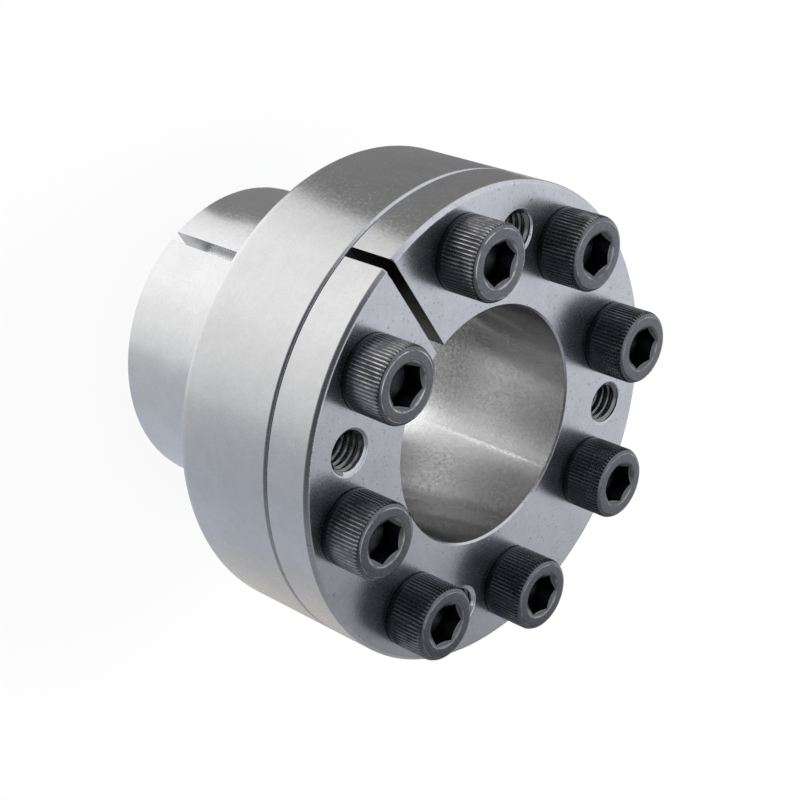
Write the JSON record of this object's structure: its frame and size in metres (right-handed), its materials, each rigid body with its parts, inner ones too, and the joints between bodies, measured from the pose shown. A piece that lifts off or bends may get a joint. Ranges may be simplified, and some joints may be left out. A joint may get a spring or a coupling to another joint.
{
  "type": "flanged clamping bushing",
  "caption": "Flanged keyless clamping bushing: a slit cone ring drawn into a slotted outer sleeve by socket head cap screws.",
  "frame": {"origin": "centre of the sleeve's rear end face, on the bushing's axis", "axes": "+Z along the axis towards the flange and the screw heads; the slit of both rings lies on the +X side"},
  "size_m": [0.0644, 0.0644, 0.0531],
  "materials": {
    "turned_steel": "fine turned and tumbled bare steel",
    "ground_steel": "satin bare steel with fine pits",
    "black_screw": "black oxide on knurled steel"
  },
  "bodies": {
    "outer_body": {"outer_ring": "turned_steel"},
    "inner_body": {"inner_ring": "ground_steel"},
    "screw_1_body": {"screw_1": "black_screw"},
    "screw_2_body": {"screw_2": "black_screw"},
    "screw_3_body": {"screw_3": "black_screw"},
    "screw_4_body": {"screw_4": "black_screw"},
    "screw_5_body": {"screw_5": "black_screw"},
    "screw_6_body": {"screw_6": "black_screw"},
    "screw_7_body": {"screw_7": "black_screw"},
    "screw_8_body": {"screw_8": "black_screw"}
  },
  "joints": [
    {"name": "clamp_stroke", "type": "slide", "parent": "outer_body", "child": "inner_body", "axis": [0, 0, 1], "range_m": [0, 0.003]},
    {"name": "screw_1_turn", "type": "hinge", "parent": "inner_body", "child": "screw_1_body", "pos_m": [0.02343, 0.00971, 0.04705], "axis": [0, 0, 1], "range_deg": [0, 1080]},
    {"name": "screw_2_turn", "type": "hinge", "parent": "inner_body", "child": "screw_2_body", "pos_m": [0.00971, 0.02343, 0.04705], "axis": [0, 0, 1], "range_deg": [0, 1080]},
    {"name": "screw_3_turn", "type": "hinge", "parent": "inner_body", "child": "screw_3_body", "pos_m": [-0.00971, 0.02343, 0.04705], "axis": [0, 0, 1], "range_deg": [0, 1080]},
    {"name": "screw_4_turn", "type": "hinge", "parent": "inner_body", "child": "screw_4_body", "pos_m": [-0.02343, 0.00971, 0.04705], "axis": [0, 0, 1], "range_deg": [0, 1080]},
    {"name": "screw_5_turn", "type": "hinge", "parent": "inner_body", "child": "screw_5_body", "pos_m": [-0.02343, -0.00971, 0.04705], "axis": [0, 0, 1], "range_deg": [0, 1080]},
    {"name": "screw_6_turn", "type": "hinge", "parent": "inner_body", "child": "screw_6_body", "pos_m": [-0.00971, -0.02343, 0.04705], "axis": [0, 0, 1], "range_deg": [0, 1080]},
    {"name": "screw_7_turn", "type": "hinge", "parent": "inner_body", "child": "screw_7_body", "pos_m": [0.00971, -0.02343, 0.04705], "axis": [0, 0, 1], "range_deg": [0, 1080]},
    {"name": "screw_8_turn", "type": "hinge", "parent": "inner_body", "child": "screw_8_body", "pos_m": [0.02343, -0.00971, 0.04705], "axis": [0, 0, 1], "range_deg": [0, 1080]}
  ],
  "couplings": [
    {"joint": "screw_1_turn", "follows": "clamp_stroke", "rad_per_m": 6283.2},
    {"joint": "screw_2_turn", "follows": "clamp_stroke", "rad_per_m": 6283.2},
    {"joint": "screw_3_turn", "follows": "clamp_stroke", "rad_per_m": 6283.2},
    {"joint": "screw_4_turn", "follows": "clamp_stroke", "rad_per_m": 6283.2},
    {"joint": "screw_5_turn", "follows": "clamp_stroke", "rad_per_m": 6283.2},
    {"joint": "screw_6_turn", "follows": "clamp_stroke", "rad_per_m": 6283.2},
    {"joint": "screw_7_turn", "follows": "clamp_stroke", "rad_per_m": 6283.2},
    {"joint": "screw_8_turn", "follows": "clamp_stroke", "rad_per_m": 6283.2}
  ]
}
